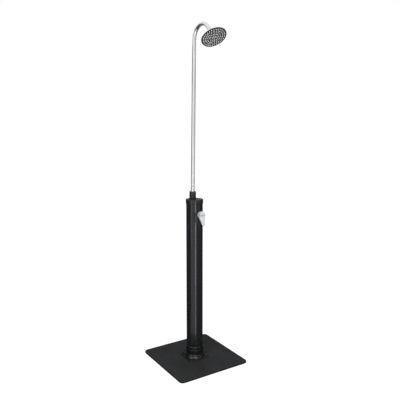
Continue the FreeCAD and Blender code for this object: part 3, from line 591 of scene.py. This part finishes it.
@dataclass
class Card:
    """Curved or flat studio card that only reflections see, such as a black flag or a strip.

    Angles are measured about the column from the line towards the camera, positive to the
    camera's right.

    Attributes:
        name: The card's name.
        first: Degrees where the card starts.
        last: Degrees where it ends.
        inner: Radius at its lower edge.
        outer: Radius at its upper edge.
        low: Height of its lower edge.
        high: Height of its upper edge.
        strength: Brightness, where 1 is white.
    """

    name: str
    first: float
    last: float
    inner: float
    outer: float
    low: float
    high: float
    strength: float

    STEP: ClassVar[float] = 4.0  # Degrees between its corners.

    def build(self, facing: float) -> None:
        """Add the card.

        Args:
            facing: World angle of the line towards the camera, in degrees.
        """
        steps = max(2, round((self.last - self.first) / self.STEP))
        corners: list[Triple] = []
        for step in range(steps + 1):
            angle = math.radians(facing + self.first + (self.last - self.first) * step / steps)
            for radius, height in ((self.inner, self.low), (self.outer, self.high)):
                corners.append((radius * math.cos(angle), radius * math.sin(angle), height))
        faces = [(2 * step, 2 * step + 2, 2 * step + 3, 2 * step + 1) for step in range(steps)]
        mesh = bpy.data.meshes.new(self.name)
        mesh.from_pydata(corners, [], faces)
        card = bpy.data.objects.new(self.name, mesh)
        bpy.context.collection.objects.link(card)
        paint = bpy.data.materials.new(self.name)
        paint.use_nodes = True
        tree = paint.node_tree
        tree.nodes.clear()
        glow = tree.nodes.new("ShaderNodeEmission")
        glow.inputs["Strength"].default_value = self.strength
        result = tree.nodes.new("ShaderNodeOutputMaterial")
        tree.links.new(glow.outputs["Emission"], result.inputs["Surface"])
        mesh.materials.append(paint)
        card.visible_camera = False
        card.visible_diffuse = False
        card.visible_transmission = False
        card.visible_shadow = False
        LOG.info("hung %s", self.name)


@dataclass
class Studio:
    """White sweep, soft lamps and the camera.

    Attributes:
        camera_place: The camera's place.
        heading: Degrees from +Y towards +X.
        pitch: Degrees below level.
        lens: Focal length in mm for a 36 mm frame.
        shift_y: Upward shift of the frame.
        frame_width: Width in mm of the frame that the lens is given for.
        sight: Furthest distance that the camera shows.
        floor_radius: Radius of the floor.
        floor_paper: Linear tones between which the floor varies.
        floor_cloud: Cells per metre of that variation.
        world_light: Strength of the world's light on the object.
        floor_glow: Share of plain white in what is seen of the floor.
        floor_white: Strength of that plain white.
    """

    camera_place: Triple = (-1.653705, -2.645874, 1.548330)
    heading: float = 32.652
    pitch: float = 7.0334
    lens: float = 44.6139
    shift_y: float = -0.0425
    frame_width: float = 36.0
    sight: float = 200.0
    floor_radius: float = 30.0
    floor_paper: tuple[float, float] = (0.86, 0.88)
    floor_cloud: float = 3.0
    world_light: float = 0.45
    floor_glow: float = 0.8
    floor_white: float = 1.16

    def build(self) -> None:
        """Set up the camera, the world, the floor and the lamps."""
        self.add_camera()
        self.add_world()
        self.add_floor()
        for box in (  # Name, place, target, width, height and watts.
            Softbox("key_softbox", (-2.6, -1.6, 2.6), (0.0, 0.0, 1.0), 1.2, 2.4, 60.0),
            Softbox("fill_softbox", (2.2, -2.6, 1.8), (0.0, 0.0, 1.1), 1.0, 2.0, 18.0),
            Softbox("top_softbox", (0.0, 0.2, 4.2), (0.0, 0.0, 0.0), 2.5, 2.5, 60.0),
            Softbox("head_bounce", (-1.1, -2.0, 0.8), (0.0, -0.22, 2.0), 0.8, 0.8, 28.0),
        ):
            box.build()
        for card in self.cards():
            card.build(-90.0 - self.heading)

    def cards(self) -> list[Card]:
        """Dark flags about the column, with a pale window to the camera's left and bright strips.

        Returns:
            The cards.
        """
        near, middle, far, before = 0.255, 0.46, 1.5, 1.49
        floor, rise, top = 0.003, 0.87, 2.9
        right, side, left, window = 28.0, 110.0, 307.0, -53.0
        strip_from, strip_to = 12.5, 17.2
        lever_from, lever_to, lever_low = 50.0, 82.0, 0.56
        return [  # Name, first and last degree, inner and outer radius, low, high, strength.
            Card("right_low_flag", right, lever_from, far, far, 0.0, rise, 0.17),
            Card("lever_flag", lever_from, lever_to, far, far, 0.0, lever_low, 0.15),
            Card("lever_card", lever_from, lever_to, far, far, lever_low, rise, 0.50),
            Card("side_low_flag", lever_to, side, far, far, 0.0, rise, 0.10),
            Card("left_low_flag", side, left, far, far, 0.0, rise, 0.08),
            Card("right_floor_flag", right, side, near, far, floor, floor, 0.10),
            Card("left_floor_flag", side, left, near, far, floor, floor, 0.05),
            Card("window_foot_flag", window, right, near, middle, floor, floor, 0.20),
            Card("window_floor_flag", window, right, middle, far, floor, floor, 0.72),
            Card("window_low_flag", window, right, far, far, 0.0, rise, 0.78),
            Card("right_flag", 84.0, 150.0, far, far, rise, top, 0.15),
            Card("left_flag", -150.0, -74.0, far, far, rise, 2.25, 0.14),
            Card("riser_flag", 36.0, 60.0, far, far, 1.30, 2.0, 0.40),
            Card("back_flag", 150.0, 210.0, far, far, 0.98, 2.0, 0.22),
            Card("low_strip", strip_from, strip_to, before, before, 0.0, rise, 8.0),
            Card("floor_strip", strip_from, strip_to, 0.42, far, 0.004, 0.004, 4.5),
            Card("left_strip", -43.0, -38.5, before, before, 0.40, 1.0, 2.4),
        ]

    def add_camera(self) -> None:
        """Stand the camera where the photograph was taken."""
        data = bpy.data.cameras.new("view_camera")
        data.lens = self.lens
        data.sensor_width = self.frame_width
        data.shift_y = self.shift_y
        data.clip_end = self.sight
        camera = bpy.data.objects.new("view_camera", data)
        camera.location = self.camera_place
        lean, turn = math.radians(90.0 - self.pitch), -math.radians(self.heading)
        camera.rotation_euler = (lean, 0.0, turn)
        bpy.context.collection.objects.link(camera)
        bpy.context.scene.camera = camera

    def add_world(self) -> None:
        """Even pale light, white behind the object."""
        world = bpy.data.worlds.new("studio_world")
        bpy.context.scene.world = world
        world.use_nodes = True
        tree = world.node_tree
        ground = tree.nodes["Background"]
        ground.inputs["Color"].default_value = (1.0, 1.0, 1.0, 1.0)
        strength = tree.nodes.new("ShaderNodeMix")  # Inputs 0, 2, 3: factor and two numbers.
        strength.inputs[2].default_value = self.world_light
        strength.inputs[3].default_value = 1.0
        tree.links.new(self.seen_rays(tree), strength.inputs[0])
        tree.links.new(strength.outputs[0], ground.inputs["Strength"])

    @staticmethod
    def seen_rays(tree: bpy.types.NodeTree) -> Socket:
        """1 for rays that show the background: straight, mirrored or through glass.

        Args:
            tree: The tree to add the nodes to.

        Returns:
            The value socket.
        """
        path = tree.nodes.new("ShaderNodeLightPath")
        total = path.outputs["Is Camera Ray"]
        for name in ("Is Glossy Ray", "Is Transmission Ray"):
            either = tree.nodes.new("ShaderNodeMath")
            either.operation = "MAXIMUM"
            tree.links.new(total, either.inputs[0])
            tree.links.new(path.outputs[name], either.inputs[1])
            total = either.outputs[0]
        return total

    def add_floor(self) -> None:
        """A wide pale floor that keeps the object's shadow."""
        bpy.ops.mesh.primitive_circle_add(vertices=96, radius=self.floor_radius, fill_type="NGON",
                                          location=(0.0, 0.0, 0.0))
        floor = bpy.context.object
        floor.name = "studio_floor"
        recipe = Recipe("studio_floor_paper")
        grain = recipe.spread(recipe.noise(recipe.place(), self.floor_cloud), 0.0, 1.0)
        first, second = ((tone, tone, tone) for tone in self.floor_paper)
        colour = recipe.blend(grain, first, second)
        recipe.set(Roughness=0.9, Specular_IOR_Level=0.1)
        floor.data.materials.append(recipe.shade(colour))
        glow = recipe.node("ShaderNodeEmission")
        glow.inputs["Strength"].default_value = self.floor_white
        share = recipe.node("ShaderNodeMath", operation="MULTIPLY")
        share.inputs[1].default_value = self.floor_glow
        recipe.join(self.seen_rays(recipe.tree), share.inputs[0])
        mixed = recipe.node("ShaderNodeMixShader")
        recipe.join(share.outputs[0], mixed.inputs["Fac"])
        recipe.join(recipe.shader.outputs["BSDF"], mixed.inputs[1])
        recipe.join(glow.outputs["Emission"], mixed.inputs[2])
        result = recipe.tree.nodes["Material Output"]
        recipe.join(mixed.outputs["Shader"], result.inputs["Surface"])


# ---- Modelling ----
FaceTest = Callable[[bpy.types.MeshPolygon], bool]
FLAT = 0.9  # Least share of a normal along an axis that a face counts as facing.


def faces_up(polygon: bpy.types.MeshPolygon) -> bool:
    """Whether a face looks along +Z."""
    return polygon.normal.z > FLAT


@dataclass(frozen=True)
class Seat:
    """Frame that pieces are placed in.

    Attributes:
        origin: The frame's origin.
        turn: Degrees about X that lay +Z along the frame's axis.
    """

    origin: Triple
    turn: float = 0.0

    def at(self, x: float = 0.0, y: float = 0.0, z: float = 0.0) -> Matrix:
        """Matrix that puts a piece at a point of this frame, with z along its axis."""
        return (Matrix.Translation(self.origin) @ Matrix.Rotation(math.radians(self.turn), 4, "X")
                @ Matrix.Translation((x, y, z)))


class Bench:
    """Starts new pieces from a primitive, shapes them in edit mode and finishes them."""

    SLOT_FLOOR = 0.6  # Length of a slot's floor, as a share of its mouth.

    def __init__(self, wardrobe: Wardrobe) -> None:
        """Keep the wardrobe that dresses the finished pieces."""
        self.wardrobe = wardrobe

    @staticmethod
    def cylinder(name: str, radius: float, height: float, sides: int = 32) -> Piece:
        """Start a piece as a cylinder that stands on z = 0.

        Args:
            name: The piece's name.
            radius: Radius to the corners.
            height: Height.
            sides: Number of side faces.

        Returns:
            The new object.
        """
        bpy.ops.object.select_all(action="DESELECT")
        bpy.ops.mesh.primitive_cylinder_add(vertices=sides, radius=radius, depth=height,
                                            location=(0.0, 0.0, height / 2.0))
        piece = bpy.context.object
        piece.name = name
        piece.data.name = name
        bpy.ops.object.transform_apply(location=True, rotation=True, scale=True)
        return piece

    @staticmethod
    def pick(piece: Piece, test: FaceTest) -> None:
        """Go to edit mode with only the faces selected that pass a test.

        Args:
            piece: The piece.
            test: Says whether a face is picked.
        """
        bpy.context.view_layer.objects.active = piece
        bpy.ops.object.mode_set(mode="EDIT")
        bpy.ops.mesh.select_mode(type="FACE")
        bpy.ops.mesh.select_all(action="DESELECT")
        bpy.ops.object.mode_set(mode="OBJECT")
        for polygon in piece.data.polygons:
            polygon.select = test(polygon)
        bpy.ops.object.mode_set(mode="EDIT")

    @staticmethod
    def extrude(rise: float, scale: float = 1.0) -> None:
        """Extrude the picked faces along Z, then scale them about their middle."""
        bpy.ops.mesh.extrude_region_move(TRANSFORM_OT_translate={"value": (0.0, 0.0, rise)})
        bpy.ops.transform.resize(value=(scale, scale, 1.0))

    @staticmethod
    def carve(piece: Piece, width: float, length: float, top: float, depth: float,
              angle: float) -> None:
        """Cut a straight slot with slanted ends into the top of a piece.

        Args:
            piece: The piece.
            width: Width of the slot.
            length: Length of the slot at its mouth.
            top: Height of the top.
            depth: Depth of the slot.
            angle: Degrees about Z.
        """
        bpy.ops.object.select_all(action="DESELECT")
        bpy.ops.mesh.primitive_cube_add(size=1.0, location=(0.0, 0.0, top),
                                        rotation=(0.0, 0.0, math.radians(angle)),
                                        scale=(length, width, 2.0 * depth))
        tool = bpy.context.object
        Bench.pick(tool, lambda polygon: polygon.normal.z < -FLAT)
        bpy.ops.transform.resize(value=(Bench.SLOT_FLOOR, 1.0, 1.0))
        bpy.ops.object.mode_set(mode="OBJECT")
        cut = piece.modifiers.new("slot", "BOOLEAN")
        cut.operation = "DIFFERENCE"
        cut.solver = "EXACT"
        cut.object = tool
        bpy.context.view_layer.objects.active = piece
        bpy.ops.object.modifier_apply(modifier=cut.name)
        bpy.data.objects.remove(tool)

    @staticmethod
    def smooth(piece: Piece, degrees: float = 35.0) -> None:
        """Leave edit mode, turn the normals outwards and shade smooth up to an angle.

        Args:
            piece: The piece.
            degrees: Edges sharper than this stay sharp.
        """
        Bench.pick(piece, lambda polygon: True)
        bpy.ops.mesh.normals_make_consistent(inside=False)
        bpy.ops.object.mode_set(mode="OBJECT")
        bpy.ops.object.select_all(action="DESELECT")
        piece.select_set(True)
        bpy.ops.object.shade_smooth_by_angle(angle=math.radians(degrees))

    def deliver(self, piece: Piece, place: Matrix, body: Body,
                finish: Finish) -> None:
        """Put a finished piece in place, dress it and let it ride.

        Args:
            piece: The piece, modelled about the origin.
            place: Where it goes.
            body: The body that carries it.
            finish: Its finish.
        """
        piece.data.transform(place)
        self.wardrobe.wear(piece, finish)
        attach(piece, body.value)
        LOG.info("placed %s on %s", piece.name, body.value)

    def repeat(self, pattern: Piece, places: list[Matrix], body: Body,
               finish: Finish) -> None:
        """Deliver copies of one piece, each with its own mesh.

        Args:
            pattern: The piece to copy; it becomes the first of them.
            places: Where they go.
            body: The body that carries them.
            finish: Their finish.
        """
        pieces = [pattern]
        for number in range(2, len(places) + 1):
            piece = pattern.copy()
            piece.data = pattern.data.copy()
            piece.name = f"{pattern.name}_{number}"
            bpy.context.collection.objects.link(piece)
            pieces.append(piece)
        for piece, place in zip(pieces, places):
            self.deliver(piece, place, body, finish)


@dataclass
class Thread:
    """Helical ridge of a screw thread that stands on a plain shank.

    Attributes:
        name: The piece's name.
        root: Radius of the shank.
        depth: Height of the ridge.
        pitch: Rise per turn.
        turns: Number of turns.
        steps: Segments per turn.
        sunk: Share of the ridge's height by which its foot is sunk into the shank.
        half_foot: Half the foot's width, as a share of the pitch.
        run_out: Share of a turn over which each end runs out.
    """

    name: str
    root: float
    depth: float
    pitch: float
    turns: int
    steps: int = 36
    sunk: float = 0.3
    half_foot: float = 0.46
    run_out: float = 1.0 / 6.0

    def build(self) -> Piece:
        """Wind a triangle round the axis and let both ends run out into the shank.

        Returns:
            The ridge, from z = 0 upwards.
        """
        bpy.ops.object.select_all(action="DESELECT")
        bpy.ops.mesh.primitive_circle_add(vertices=3, radius=self.depth, fill_type="NOTHING")
        ridge = bpy.context.object
        ridge.name = self.name
        ridge.data.name = self.name
        foot, half = self.root - self.sunk * self.depth, self.half_foot * self.pitch
        profile = ((foot, -half), (self.root + self.depth, 0.0), (foot, half))
        for vertex, (radius, height) in zip(ridge.data.vertices, profile):
            vertex.co = (radius, 0.0, height)
        winding = ridge.modifiers.new("winding", "SCREW")
        winding.axis = "Z"
        winding.screw_offset = self.pitch
        winding.iterations = self.turns
        winding.steps = winding.render_steps = self.steps
        bpy.ops.object.modifier_apply(modifier=winding.name)
        last = len(ridge.data.vertices) // 3 - 1
        for number, vertex in enumerate(ridge.data.vertices):
            step = number // 3
            share = min(1.0, min(step, last - step) / (self.run_out * self.steps))
            radius = math.hypot(vertex.co.x, vertex.co.y)
            shrink = (foot + (radius - foot) * share) / radius
            vertex.co.x *= shrink
            vertex.co.y *= shrink
        Bench.smooth(ridge, degrees=50.0)
        return ridge


# ---- Sub-assemblies ----
@dataclass
class Base:
    """Square pan, stiffeners, feet, foot flange and its fixings.

    Attributes:
        bolt_offset: Distance of the bolts from the middle, along X and Y.
        bolt_r: Radius of the bolts' shanks.
        nut_top: Height of the nuts' upper faces.
        thread_pitch: Pitch of the bolts.
        thread_depth: Height of their threads' ridges.
        thread_sunk: How far the ridges' root lies inside the shanks.
    """

    bolt_offset: float = 0.0575
    bolt_r: float = 0.004
    nut_top: float = 0.0281
    thread_pitch: float = 0.00085
    thread_depth: float = 0.0003
    thread_sunk: float = 0.0001

    def build(self, bench: Bench) -> None:
        """Dress the base and give its bolts their threads.

        Args:
            bench: Where new pieces are made.
        """
        wardrobe = bench.wardrobe
        finishes = wardrobe.finishes
        wardrobe.dress(finishes.base_coat, "base_plate")
        wardrobe.dress(finishes.zinc, "base_stiffeners")
        wardrobe.dress(finishes.foot_rubber, "base_feet")
        wardrobe.dress(finishes.flange_coat, "foot_flange")
        wardrobe.dress(finishes.bolt_steel, "flange_bolts", "flange_washers", "flange_nuts")
        thread = Thread("bolt_thread", self.bolt_r - self.thread_sunk, self.thread_depth,
                        self.thread_pitch, turns=2, steps=24)
        ground, offset = Seat((0.0, 0.0, self.nut_top)), self.bolt_offset
        places = [ground.at(x, y) for x in (-offset, offset) for y in (-offset, offset)]
        bench.repeat(thread.build(), places, Body.POST, finishes.bolt_steel)


@dataclass
class Column:
    """Water column with its plug, cap, inlet and drain.

    Attributes:
        inlet: Frame of the hose inlet, along +Y.
        thread_from: Where the inlet's thread starts on that axis.
        thread_r: Radius of the inlet's threaded end.
        thread_depth: Height of the thread's ridge.
        thread_pitch: Its pitch.
        drain: Frame of the drain plug, along +Y.
        plug_head_r: Radius of the plug's head.
        plug_head_height: Height of its head.
        plug_bevel: Height of the bevel on the head.
        plug_bevel_taper: Scale of the bevel's top against its foot.
        plug_shank_r: Radius of its shank.
        plug_ribs: Number of grip ribs on its head.
        plug_rib_height: How far the ribs stand out.
        coin_slot: Width, length and depth of the slot in the head.
    """

    inlet: Seat = Seat((0.0, 0.0, 0.160), -90.0)
    thread_from: float = 0.0625
    thread_r: float = 0.01048
    thread_depth: float = 0.0004
    thread_pitch: float = 0.0018
    drain: Seat = Seat((0.0, 0.0, 0.114), -90.0)
    plug_head_r: float = 0.0115
    plug_head_height: float = 0.008
    plug_bevel: float = 0.001
    plug_bevel_taper: float = 0.9
    plug_shank_r: float = 0.007
    plug_ribs: int = 24
    plug_rib_height: float = 0.0005
    coin_slot: Triple = (0.002, 0.016, 0.0025)

    def build(self, bench: Bench) -> None:
        """Dress the column, thread its inlet and model the drain plug.

        Args:
            bench: Where new pieces are made.
        """
        wardrobe = bench.wardrobe
        finishes = wardrobe.finishes
        wardrobe.dress(finishes.column_skin, "column_tube")
        wardrobe.dress(finishes.cap_skin, "top_cap")
        wardrobe.dress(finishes.black_moulding, "column_plug", "inlet_tee", "drain_plug",
                       "drain_nut")
        wardrobe.dress(finishes.seal_rubber, "plug_seal", "cap_seal", "inlet_washers",
                       "drain_washer")
        wardrobe.dress(finishes.brass, "inlet_nipple")
        wardrobe.dress(finishes.hose_plastic, "cold_hose", "warm_pickup", "outlet_pipe")
        thread = Thread("inlet_thread", self.thread_r, self.thread_depth, self.thread_pitch,
                        turns=6)
        bench.deliver(thread.build(), self.inlet.at(z=self.thread_from), Body.POST,
                      finishes.brass)
        self.add_drain_plug(bench)

    def add_drain_plug(self, bench: Bench) -> None:
        """Plug with a ribbed head and a coin slot, in the place of the plain one.

        Args:
            bench: Where it is made.
        """
        tip, end = (corner[1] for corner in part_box("drain_plug"))
        shank = end - tip - self.plug_head_height
        plug = bench.cylinder("drain_plug_ribbed", self.plug_shank_r, shank, 2 * self.plug_ribs)
        bench.pick(plug, faces_up)
        bench.extrude(0.0, self.plug_head_r / self.plug_shank_r)
        bench.extrude(self.plug_head_height - self.plug_bevel)
        bench.extrude(self.plug_bevel, self.plug_bevel_taper)
        bpy.ops.object.mode_set(mode="OBJECT")
        pitch = math.tau / self.plug_ribs

        def is_rib(polygon: bpy.types.MeshPolygon) -> bool:
            """Whether a face is every second one of the head's side."""
            angle = math.atan2(polygon.center.y, polygon.center.x) % pitch
            return (polygon.center.z > shank and abs(polygon.normal.z) < 1.0 - FLAT
                    and angle < pitch / 2.0)

        bench.pick(plug, is_rib)
        bpy.ops.mesh.extrude_faces_move(
            TRANSFORM_OT_shrink_fatten={"value": self.plug_rib_height})
        bpy.ops.object.mode_set(mode="OBJECT")
        width, length, depth = self.coin_slot
        bench.carve(plug, width, length, shank + self.plug_head_height, depth, angle=0.0)
        bench.smooth(plug)
        bench.deliver(plug, self.drain.at(z=tip), Body.POST,
                      bench.wardrobe.finishes.black_moulding)
        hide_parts("drain_plug")


@dataclass
class Riser:
    """Gland, gooseneck tube and the arm's end."""

    def build(self, bench: Bench) -> None:
        """Dress the riser.

        Args:
            bench: Holds the wardrobe.
        """
        wardrobe = bench.wardrobe
        finishes = wardrobe.finishes
        wardrobe.dress(finishes.brass, "gland_body", "gland_back_nut", "swivel_ring",
                       "riser_spigot")
        wardrobe.dress(finishes.seal_rubber, "gland_washer", "riser_seals")
        wardrobe.dress(finishes.gland_skin, "gland_nut")
        wardrobe.dress(finishes.white_plastic, "thrust_washers")
        wardrobe.dress(finishes.riser_chrome, "riser_tube")
        wardrobe.dress(finishes.chrome, "arm_fitting", "swivel_nut")


@dataclass
class RainHead:
    """Ball joint and round head.

    Attributes:
        seat: The ball's centre and the head's axis.
        face: Distance of the nozzle plate's face from the ball.
        rings: Number of rings of nozzles.
        ring_step: How many more nozzles a ring has than the one inside it.
        pitch: Distance between the rings.
        nozzle_r: Radius of a nozzle at its foot.
        nozzle_height: How far a nozzle stands out.
        nozzle_rim: Height of its straight foot and of its bevelled tip.
        nozzle_taper: Scale of its cone's top against its foot.
        tip_taper: Scale of the bevelled tip's top against its foot.
        hole_inset: Distance of the water hole from the tip's edge.
        hole_depth: Depth of the water hole.
    """

    seat: Seat = Seat((0.0, -0.187207, 2.069928), 144.0)
    face: float = 0.048
    rings: int = 5
    ring_step: int = 6
    pitch: float = 0.0129
    nozzle_r: float = 0.0034
    nozzle_height: float = 0.0025
    nozzle_rim: float = 0.0004
    nozzle_taper: float = 0.66
    tip_taper: float = 0.8
    hole_inset: float = 0.0007
    hole_depth: float = 0.00025

    def places(self) -> list[Matrix]:
        """One place in the middle, then the rings.

        Returns:
            The nozzles' places on the plate.
        """
        found = [self.seat.at(z=self.face)]
        for ring in range(1, self.rings + 1):
            count, reach = self.ring_step * ring, ring * self.pitch
            for step in range(count):
                angle = math.tau * step / count
                found.append(self.seat.at(reach * math.cos(angle), reach * math.sin(angle),
                                          self.face))
        return found

    def nozzle(self, bench: Bench) -> Piece:
        """One conical nozzle with its water hole.

        Args:
            bench: Where it is made.

        Returns:
            The nozzle, standing on z = 0.
        """
        tip = bench.cylinder("nozzle_tip", self.nozzle_r, self.nozzle_rim, sides=16)
        bench.pick(tip, faces_up)
        bench.extrude(self.nozzle_height - 2.0 * self.nozzle_rim, self.nozzle_taper)
        bench.extrude(self.nozzle_rim, self.tip_taper)
        bpy.ops.mesh.inset(thickness=self.hole_inset)
        bench.extrude(-self.hole_depth)
        bench.smooth(tip)
        return tip

    def build(self, bench: Bench) -> None:
        """Dress the head and fit its nozzles.

        Args:
            bench: Where new pieces are made.
        """
        wardrobe = bench.wardrobe
        finishes = wardrobe.finishes
        wardrobe.dress(finishes.white_plastic, "ball_seat", "neck_washer")
        wardrobe.dress(finishes.chrome, "ball_stem", "head_shell")
        wardrobe.dress(finishes.nozzle_plate_skin, "nozzle_plate")
        wardrobe.dress(finishes.nozzle_silicone, "nozzle_mat")
        bench.repeat(self.nozzle(bench), self.places(), Body.HEAD,
                     finishes.nozzle_silicone)


@dataclass
class Tap:
    """Single-lever mixing tap.

    Attributes:
        seat: The tap's frame, along -Y.
        screw_x: Distance of the saddle's screws from its middle line.
        screw_drop: How far they lie below the tap's axis.
        screw_r: Radius of their shanks.
        screw_head_r: Radius of their heads.
        screw_head_height: Height of their heads.
        screw_dome: Rise, as a share of the head's height, and scale of each step of the head.
        cross: Width, length and depth of one bar of the cross recess.
    """

    seat: Seat = Seat((0.0, 0.0, 0.971), 90.0)
    screw_x: float = 0.013
    screw_drop: float = 0.035
    screw_r: float = 0.002
    screw_head_r: float = 0.0038
    screw_head_height: float = 0.0024
    screw_dome: tuple[tuple[float, float], ...] = ((0.5, 1.0), (0.3, 0.9), (0.2, 0.8))
    cross: Triple = (0.0009, 0.0044, 0.0013)

    def add_screws(self, bench: Bench) -> None:
        """Two pan-head screws with cross recesses, in the place of the plain ones.

        Args:
            bench: Where they are made.
        """
        low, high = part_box("saddle_screws")
        tip, end = -high[1], -low[1]
        shank = end - tip - self.screw_head_height
        screw = bench.cylinder("saddle_screw_cross", self.screw_r, shank)
        bench.pick(screw, faces_up)
        bench.extrude(0.0, self.screw_head_r / self.screw_r)
        for share, scale in self.screw_dome:
            bench.extrude(share * self.screw_head_height, scale)
        bpy.ops.object.mode_set(mode="OBJECT")
        width, length, depth = self.cross
        for angle in (45.0, 135.0):
            bench.carve(screw, width, length, shank + self.screw_head_height, depth, angle)
        bench.smooth(screw, degrees=50.0)
        places = [self.seat.at(x, -self.screw_drop, tip) for x in (-self.screw_x, self.screw_x)]
        bench.repeat(screw, places, Body.POST,
                     bench.wardrobe.finishes.bolt_steel)
        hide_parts("saddle_screws")

    def build(self, bench: Bench) -> None:
        """Dress the tap and model the saddle's screws.

        Args:
            bench: Where new pieces are made.
        """
        wardrobe = bench.wardrobe
        finishes = wardrobe.finishes
        wardrobe.dress(finishes.saddle_skin, "tap_saddle")
        wardrobe.dress(finishes.seal_rubber, "saddle_gasket", "mixer_gasket", "disc_gasket")
        wardrobe.dress(finishes.bolt_steel, "saddle_screws", "pivot_pin", "grub_screw")
        wardrobe.dress(finishes.brass, "mixer_body", "lever_spindle")
        wardrobe.dress(finishes.white_plastic, "cartridge_housing", "disc_slider",
                       "cartridge_rotor")
        wardrobe.dress(finishes.ceramic, "fixed_disc", "moving_disc")
        wardrobe.dress(finishes.chrome, "clamp_nut", "cartridge_nut")
        wardrobe.dress(finishes.lever_chrome, "lever_handle")
        wardrobe.dress(finishes.plug_plastic, "handle_plug")
        self.add_screws(bench)


def main() -> None:
    """Load the frame, build every sub-assembly in order and set up the studio."""
    logging.basicConfig(level=logging.INFO, format="%(name)s: %(message)s")
    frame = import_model()
    bpy.context.scene.view_settings.view_transform = "Standard"
    bench = Bench(Wardrobe(frame["nodes"]))
    for assembly in (Base(), Column(), Riser(), RainHead(), Tap()):
        LOG.info("building %s", type(assembly).__name__)
        assembly.build(bench)
    Studio().build()


if __name__ == "__main__":
    main()
